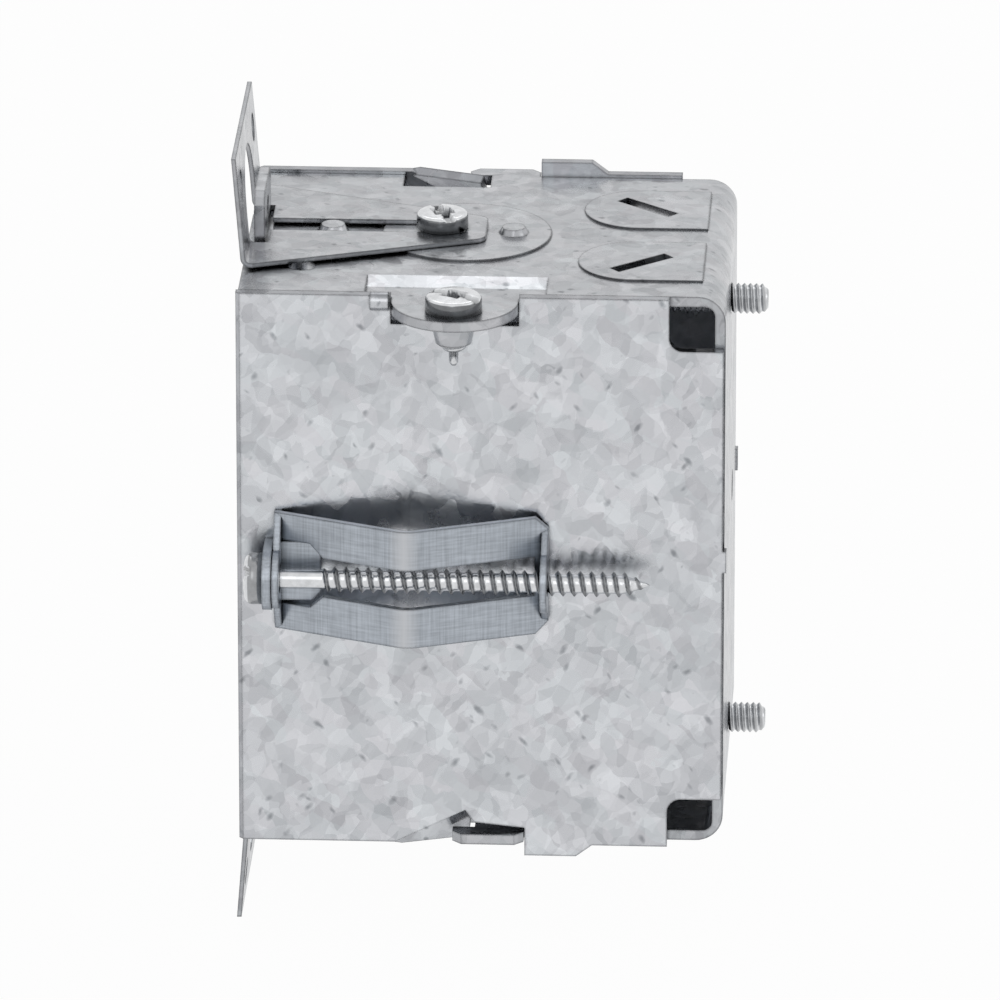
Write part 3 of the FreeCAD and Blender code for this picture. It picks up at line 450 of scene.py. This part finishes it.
def plated_strip(name, finish, creased=False):
    """Zinc-plated strip: blue-grey, fine scratches that cross, lighter along a crease by wear and a
    painted highlight.
    """
    material, tree, output = new_material(name)
    place = node(tree, "ShaderNodeTexCoord").outputs["Object"]
    streaks = []
    for waves in SCRATCH_WAVES:
        aimed = node(tree, "ShaderNodeMapping",
                     {"Vector": place, "Rotation": SCRATCH_SLANT, "Scale": waves}).outputs[0]
        streaks.append(noise(tree, aimed, 1.0, 3.0)["Fac"])
    cross = weighted(tree, *((streak, 0.5) for streak in streaks))
    base = ramp(tree, cross, [(0.36, toned(finish.strip_colour, 0.8)),
                              (0.64, toned(finish.strip_colour, 1.2))])
    # A band along the crease, lighter by wear and a painted highlight.
    if creased:
        along = node(tree, "ShaderNodeSeparateXYZ", {"Vector": place}).outputs["X"]
        off = worked(tree, "ABSOLUTE", worked(tree, "SUBTRACT", along, finish.crease_place))
        lit_and_worn = node(tree, "ShaderNodeMapRange",
                    {"Value": off, "From Min": 0.0, "From Max": finish.crease_band,
                     "To Min": CREASE_HIGHLIGHT_SHARE, "To Max": 0.0}).outputs["Result"]
        base = mixed_colour(tree, lit_and_worn, base, (*finish.crease_highlight_colour, 1))
    # Painted shade in the strip's crevices, over its dark sharp edges.
    base = crevice_shade(tree, multiplied(tree, base, burrs_and_edge_shade(tree, finish)), finish)
    gloss = remap(tree, cross, finish.strip_roughness, 0.08, 0.08)
    edge = rounded_normal(tree, finish.edge_round * 0.6)
    end_in_metal(tree, output, base, gloss, bumped(tree, cross, 0.25, 0.06 * MM, Normal=edge))
    return material


def bright_zinc(name, finish):
    """Bright zinc of the screws, a little clouded, with painted shade on the thread's ridge, in the
    recess and on the head's side.
    """
    material, tree, output = new_material(name)
    place = node(tree, "ShaderNodeTexCoord").outputs["Object"]
    cloud = noise(tree, place, PLATING_WAVES, 4.0)["Fac"]
    clean = ramp(tree, cloud, [(0.3, toned(finish.screw_colour, 0.86)),
                               (0.7, toned(finish.screw_colour, 1.1))])
    # The screws' painted shade, read from their points.
    painted_shade = node(tree, "ShaderNodeAttribute", attribute_name=PAINTED_SHADE).outputs["Fac"]
    base = multiplied(tree, clean, ramp(tree, painted_shade, [(0.0, WHITE), (1.0, finish.painted_shade_tint)]))
    gloss = remap(tree, cloud, finish.screw_roughness, 0.05, 0.08)
    end_in_metal(tree, output, base, gloss, bumped(tree, cloud, 0.1, 0.05 * MM))
    return material


def dress(nodes, material):
    """Give CAD nodes a finish in their material slots."""
    for name in nodes:
        slots = frame["nodes"][name].data.materials
        slots.clear()
        slots.append(material)


# Screws as turned surfaces.

def smooth_step(low, high, value):
    """0 below low, 1 above high, an S-curve between."""
    part = np.clip((value - low) / (high - low), 0, 1)
    return part * part * (3 - 2 * part)


def all_round(rows):
    """One value a row, repeated in every column."""
    return np.repeat(np.asarray(rows, float)[:, None], COLUMNS, 1)


def head_rows(size, screws):
    """Radius, height and painted shade of a pan head, from the middle of its top to its seat at
    height 0.

    The top is a low parabola, the rim a quarter round, the side upright. The recess lowers the
    top by its depth times the larger of two shares: 1 in the square and a little over half in
    the slot, each falling to 0 over a short edge."""
    head_r, rim = size["head_r"], size["rim"]
    top_r = np.linspace(0, head_r - rim, TOP_ROWS)
    top_h = size["head_h"] - size["crown"] + size["crown"] * (1 - (top_r / head_r) ** 2)
    bend = np.linspace(0, np.pi / 2, RIM_ROWS)[1:]
    rim_r = head_r - rim + rim * np.sin(bend)
    rim_h = top_h[-1] - rim + rim * np.cos(bend)
    radius = all_round([*top_r, *rim_r, head_r, size["shank_r"] * NECK_SHARE])
    height = all_round([*top_h, *rim_h, 0, 0])
    x = np.abs(radius * np.cos(ANGLE + size["turn"]))
    y = np.abs(radius * np.sin(ANGLE + size["turn"]))
    half, slot = screws.recess_square / 2, screws.recess_slot / 2
    square = 1 - smooth_step(half, half + RECESS_EDGE, np.maximum(x, y))
    groove = 1 - smooth_step(slot, slot + RECESS_EDGE, y)
    row = np.arange(len(radius))[:, None]
    sunk = np.where(row < RECESS_STOP, np.maximum(square, groove * SLOT_SHARE), 0)
    # Painted shade: the recess darkens as far as it sinks, the head's side by a set amount.
    painted_shade = np.where(row >= SIDE_START, size["side_painted_shade"], sunk)
    return radius, height - sunk * screws.recess_depth, painted_shade


def shaft_rows(size):
    """Radius, height and painted shade of the shaft, from under the head to its point or pilot.

    The thread is a ridge on the core. Its phase is height over pitch less the share of a turn,
    so that it winds as a helix. It fades in below the plain neck and out towards the end, where
    a sharp core runs to a point by a power of the way left and a blunt one by its root."""
    pitch, end = size["pitch"], size["length"] - size["pilot"]
    down = np.linspace(THREAD_START, end, int(end / pitch * ROWS_PER_TURN))[:, None]
    phase = np.mod(-down / pitch - ANGLE / (2 * np.pi), 1)
    ridge = np.clip(1 - np.abs(2 * phase - 1) * size["thin"], 0, 1)
    ridge = ridge * smooth_step(size["plain"], size["plain"] + pitch, down)
    left = np.clip((end - down) / size["point"], 0, 1)
    core = np.where(down < size["plain"], size["shank_r"], size["root_r"])
    if size["sharp"]:
        core = np.minimum(core, size["root_r"] * left ** POINT_CURVE)
    else:
        core = core * (BLUNT_END + (1 - BLUNT_END) * np.sqrt(left))
    crest = (size["crest_r"] - size["root_r"]) * ridge * smooth_step(0, THREAD_RUNOUT, left)
    # The thread's ridge is darkened as painted shade.
    return core + crest, all_round(-down[:, 0]), np.clip(FLANK_SHADE * ridge, 0, 1) * size["painted_shade"]


def tip_rows(size):
    """Radius, height and painted shade (none) of the end: a chamfered pilot pin, or the point
    alone.
    """
    low = -size["length"]
    if size["pilot"]:
        radius = all_round(PILOT_RADII)
        height = all_round([low + size["pilot"], low + PILOT_CHAMFER, low, low])
    else:
        radius, height = all_round([0.0]), all_round([low])
    return radius, height, np.zeros_like(radius)


def turned_mesh(name, radius, height, painted_shade):
    """A surface of revolution about +Z from (rows, columns) arrays, its poles closed.

    A point is its radius times the cosine and the sine of its column's angle, at its height."""
    points = np.stack([radius * np.cos(ANGLE), radius * np.sin(ANGLE), height], axis=-1)
    row, column = np.meshgrid(np.arange(len(radius) - 1), np.arange(COLUMNS), indexing="ij")
    after = (column + 1) % COLUMNS
    quads = np.stack([row * COLUMNS + column, (row + 1) * COLUMNS + column,
                      (row + 1) * COLUMNS + after, row * COLUMNS + after], axis=-1)
    mesh = bpy.data.meshes.new(name)
    mesh.from_pydata(points.reshape(-1, 3).tolist(), [], quads.reshape(-1, 4).tolist())
    # Painted shade is stored on each point for the screw's material.
    shade = mesh.attributes.new(PAINTED_SHADE, "FLOAT", "POINT")
    shade.data.foreach_set("value", painted_shade.reshape(-1).astype(np.float32))
    work = bmesh.new()
    work.from_mesh(mesh)
    bmesh.ops.remove_doubles(work, verts=work.verts, dist=MERGE_DISTANCE)
    bmesh.ops.recalc_face_normals(work, faces=work.faces)
    work.to_mesh(mesh)
    work.free()
    mesh.polygons.foreach_set("use_smooth", np.ones(len(mesh.polygons), bool))
    return mesh


def place_screw(node_name, kind, way, turn, pitch, pilot, screws, material):
    """Make a screw to its CAD node's box, its head facing a way, and let it stand for the node."""
    low, high = (np.array(corner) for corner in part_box(node_name))
    axis = int(np.argmax(np.abs(way)))
    size = {**kind, "turn": turn, "pitch": pitch, "pilot": pilot,
            "head_r": (high[1] - low[1]) / 2,
            "length": high[axis] - low[axis] - kind["head_h"] + pilot}
    seat = (low + high) / 2
    seat[axis] = (high if way[axis] > 0 else low)[axis] - way[axis] * kind["head_h"]
    parts = (head_rows(size, screws), shaft_rows(size), tip_rows(size))
    mesh = turned_mesh(f"{node_name}_threaded", *(np.concatenate(rows) for rows in zip(*parts)))
    laid = Vector((0, 0, 1)).rotation_difference(Vector(way)).to_matrix().to_4x4()
    laid.translation = Vector(seat)
    mesh.transform(laid)
    mesh.materials.append(material)
    piece = bpy.data.objects.new(f"{node_name}_threaded", mesh)
    bpy.context.scene.collection.objects.link(piece)
    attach(piece, BODY_OF_NODE[node_name])
    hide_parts(node_name)


# Studio.

def soft_box(name, place, target, width, depth, power):
    """An area lamp aimed at a point."""
    lamp = bpy.data.lights.new(name, "AREA")
    lamp.shape, lamp.size, lamp.size_y, lamp.energy = "RECTANGLE", width, depth, power
    holder = bpy.data.objects.new(name, lamp)
    holder.location = place
    holder.rotation_euler = (Vector(target) - Vector(place)).to_track_quat("-Z", "Y").to_euler()
    bpy.context.scene.collection.objects.link(holder)


def seen_white(tree, amount):
    """The share of plain white that the camera, a mirror-like bounce or a look through glass sees.

    Other rays see none."""
    path = node(tree, "ShaderNodeLightPath").outputs
    seen = path["Is Camera Ray"]
    for kind in ("Is Glossy Ray", "Is Transmission Ray"):
        seen = worked(tree, "MAXIMUM", seen, path[kind])
    return weighted(tree, (seen, amount))


def either(tree, white_share, first, second, output):
    """Close a tree with two shaders mixed by the share of white."""
    mixed = node(tree, "ShaderNodeMixShader", {0: white_share, 1: first.outputs[0],
                                               2: second.outputs[0]})
    tree.links.new(mixed.outputs[0], output.inputs["Surface"])


def lay_floor(scene, ground):
    """A square pale floor that shows plain white and keeps the object's shadow."""
    side = np.array([-1, 1]) * FLOOR_REACH
    x, y = np.meshgrid(side, side, indexing="ij")
    corners = np.stack([x, y, np.full_like(x, ground)], -1).reshape(-1, 3)
    mesh = bpy.data.meshes.new("studio_floor")
    mesh.from_pydata(corners.tolist(), [], [(0, 2, 3, 1)])
    floor = bpy.data.objects.new("studio_floor", mesh)
    scene.collection.objects.link(floor)
    material, tree, output = new_material("studio_white")
    pale = node(tree, "ShaderNodeBsdfDiffuse", {"Color": FLOOR_GREY})
    glow = node(tree, "ShaderNodeEmission", {"Color": (*WHITE, 1), "Strength": 1.0})
    either(tree, seen_white(tree, FLOOR_WHITE), pale, glow, output)
    mesh.materials.append(material)


def raise_world(scene):
    """A grey sky that lights the object and shows plain white."""
    world = bpy.data.worlds.new("studio_world")
    world.use_nodes = True
    tree = world.node_tree
    tree.nodes.clear()
    way = node(tree, "ShaderNodeTexCoord").outputs["Generated"]
    lift = node(tree, "ShaderNodeSeparateXYZ", {"Vector": way}).outputs["Z"]
    around = node(tree, "ShaderNodeBackground", {"Color": ramp(tree, lift, SKY), "Strength": 1.0})
    white = node(tree, "ShaderNodeBackground", {"Color": (*WHITE, 1), "Strength": 1.0})
    output = node(tree, "ShaderNodeOutputWorld")
    either(tree, seen_white(tree, WORLD_WHITE), around, white, output)
    scene.world = world


def set_camera(scene, stage):
    """A long lens at the photograph's angle, aimed a little beside the middle of the box."""
    turn, lift = stage.azimuth, stage.elevation
    toward = Vector((math.sin(turn) * math.cos(lift), -math.cos(turn) * math.cos(lift),
                     math.sin(lift)))
    right = Vector((math.cos(turn), math.sin(turn), 0))
    aim = BOX_MIDDLE + right * AIM_RIGHT + toward.cross(right) * AIM_UP
    camera = bpy.data.objects.new("studio_camera", bpy.data.cameras.new("studio_camera"))
    camera.data.sensor_width = SENSOR
    camera.data.lens = stage.lens
    camera.data.clip_end = CLIP_END
    camera.location = aim + toward * stage.distance
    camera.rotation_euler = (-toward).to_track_quat("-Z", "Y").to_euler()
    scene.collection.objects.link(camera)
    scene.camera = camera


# Operators.

class BACKBOX_OT_sheet(bpy.types.Operator):
    """Galvanise the folded walls, the side plates and the ears"""
    bl_idname = "backbox.sheet"
    bl_label = "Galvanised sheet"

    def execute(self, context):
        finish = context.scene.backbox_finish
        # Each part's tone lightens or darkens its sheet as painted light or shade.
        dress(WALL_NODES, galvanised_sheet("galvanised_sheet", finish, WALL_SHADE_TONE))
        dress(PLATE_NODES, galvanised_sheet("galvanised_plate", finish, PLATE_LIGHT_TONE, rolled=True))
        dress(EAR_NODES, galvanised_sheet("galvanised_ear", finish, EAR_SHADE_TONE))
        return {"FINISHED"}


class BACKBOX_OT_strip(bpy.types.Operator):
    """Plate the wall clamps, their lugs and the cable clamps"""
    bl_idname = "backbox.strip"
    bl_label = "Plated strip"

    def execute(self, context):
        finish = context.scene.backbox_finish
        dress(CLAMP_NODES, plated_strip("plated_clamp", finish, creased=True))
        dress(STRIP_NODES, plated_strip("plated_strip", finish))
        return {"FINISHED"}


class BACKBOX_OT_short_screws(bpy.types.Operator):
    """Thread the side, ear, cable and bonding screws"""
    bl_idname = "backbox.short_screws"
    bl_label = "Short screws"

    def execute(self, context):
        material = bright_zinc("short_screw_zinc", context.scene.backbox_finish)
        screws = context.scene.backbox_screws
        for name, (way, turn) in SHORT_SCREWS.items():
            pilot = screws.pilot if name in PILOT_SCREWS else 0
            place_screw(name, SHORT_SCREW, way, turn, screws.machine_pitch, pilot, screws, material)
        return {"FINISHED"}


class BACKBOX_OT_long_screws(bpy.types.Operator):
    """Thread the long screws that draw up the wall clamps"""
    bl_idname = "backbox.long_screws"
    bl_label = "Long screws"

    def execute(self, context):
        material = bright_zinc("long_screw_zinc", context.scene.backbox_finish)
        screws = context.scene.backbox_screws
        for name, (way, turn) in LONG_SCREWS.items():
            place_screw(name, LONG_SCREW, way, turn, screws.drive_pitch, 0, screws, material)
        return {"FINISHED"}


class BACKBOX_OT_stage(bpy.types.Operator):
    """Lay the floor, hang the lights and set the camera"""
    bl_idname = "backbox.stage"
    bl_label = "Studio"

    def execute(self, context):
        scene, stage = context.scene, context.scene.backbox_stage
        low, high = (Vector(corner) for corner in CAD_BOX)
        lay_floor(scene, low.z - stage.floor_drop)
        raise_world(scene)
        for name, place, width, depth, power in LAMPS:
            soft_box(name, place, (low + high) / 2, width, depth, power)
        set_camera(scene, stage)
        scene.view_settings.view_transform = "Standard"
        return {"FINISHED"}


class BACKBOX_PT_panel(bpy.types.Panel):
    """Back box settings in the sidebar"""
    bl_idname = "BACKBOX_PT_panel"
    bl_label = "Back box"
    bl_space_type = "VIEW_3D"
    bl_region_type = "UI"
    bl_category = "Back box"

    def draw(self, context):
        scene = context.scene
        for group in (scene.backbox_finish, scene.backbox_screws, scene.backbox_stage):
            column = self.layout.column(align=True)
            for name in group.bl_rna.properties.keys():
                if name not in ("rna_type", "name"):
                    column.prop(group, name)
        for operator in OPERATORS:
            self.layout.operator(operator.bl_idname)


OPERATORS = (BACKBOX_OT_sheet, BACKBOX_OT_strip, BACKBOX_OT_short_screws, BACKBOX_OT_long_screws,
             BACKBOX_OT_stage)
CLASSES = (BackBoxFinish, BackBoxScrews, BackBoxStage, *OPERATORS, BACKBOX_PT_panel)


def register():
    """Register the classes and hang the settings on the scene."""
    for cls in CLASSES:
        bpy.utils.register_class(cls)
    bpy.types.Scene.backbox_finish = bpy.props.PointerProperty(type=BackBoxFinish)
    bpy.types.Scene.backbox_screws = bpy.props.PointerProperty(type=BackBoxScrews)
    bpy.types.Scene.backbox_stage = bpy.props.PointerProperty(type=BackBoxStage)


def unregister():
    """Take the settings and the classes away again."""
    del bpy.types.Scene.backbox_stage
    del bpy.types.Scene.backbox_screws
    del bpy.types.Scene.backbox_finish
    for cls in reversed(CLASSES):
        bpy.utils.unregister_class(cls)


def main():
    """Run every operator in order."""
    register()
    bpy.ops.backbox.sheet()
    bpy.ops.backbox.strip()
    bpy.ops.backbox.short_screws()
    bpy.ops.backbox.long_screws()
    bpy.ops.backbox.stage()


if __name__ == "__main__":
    main()
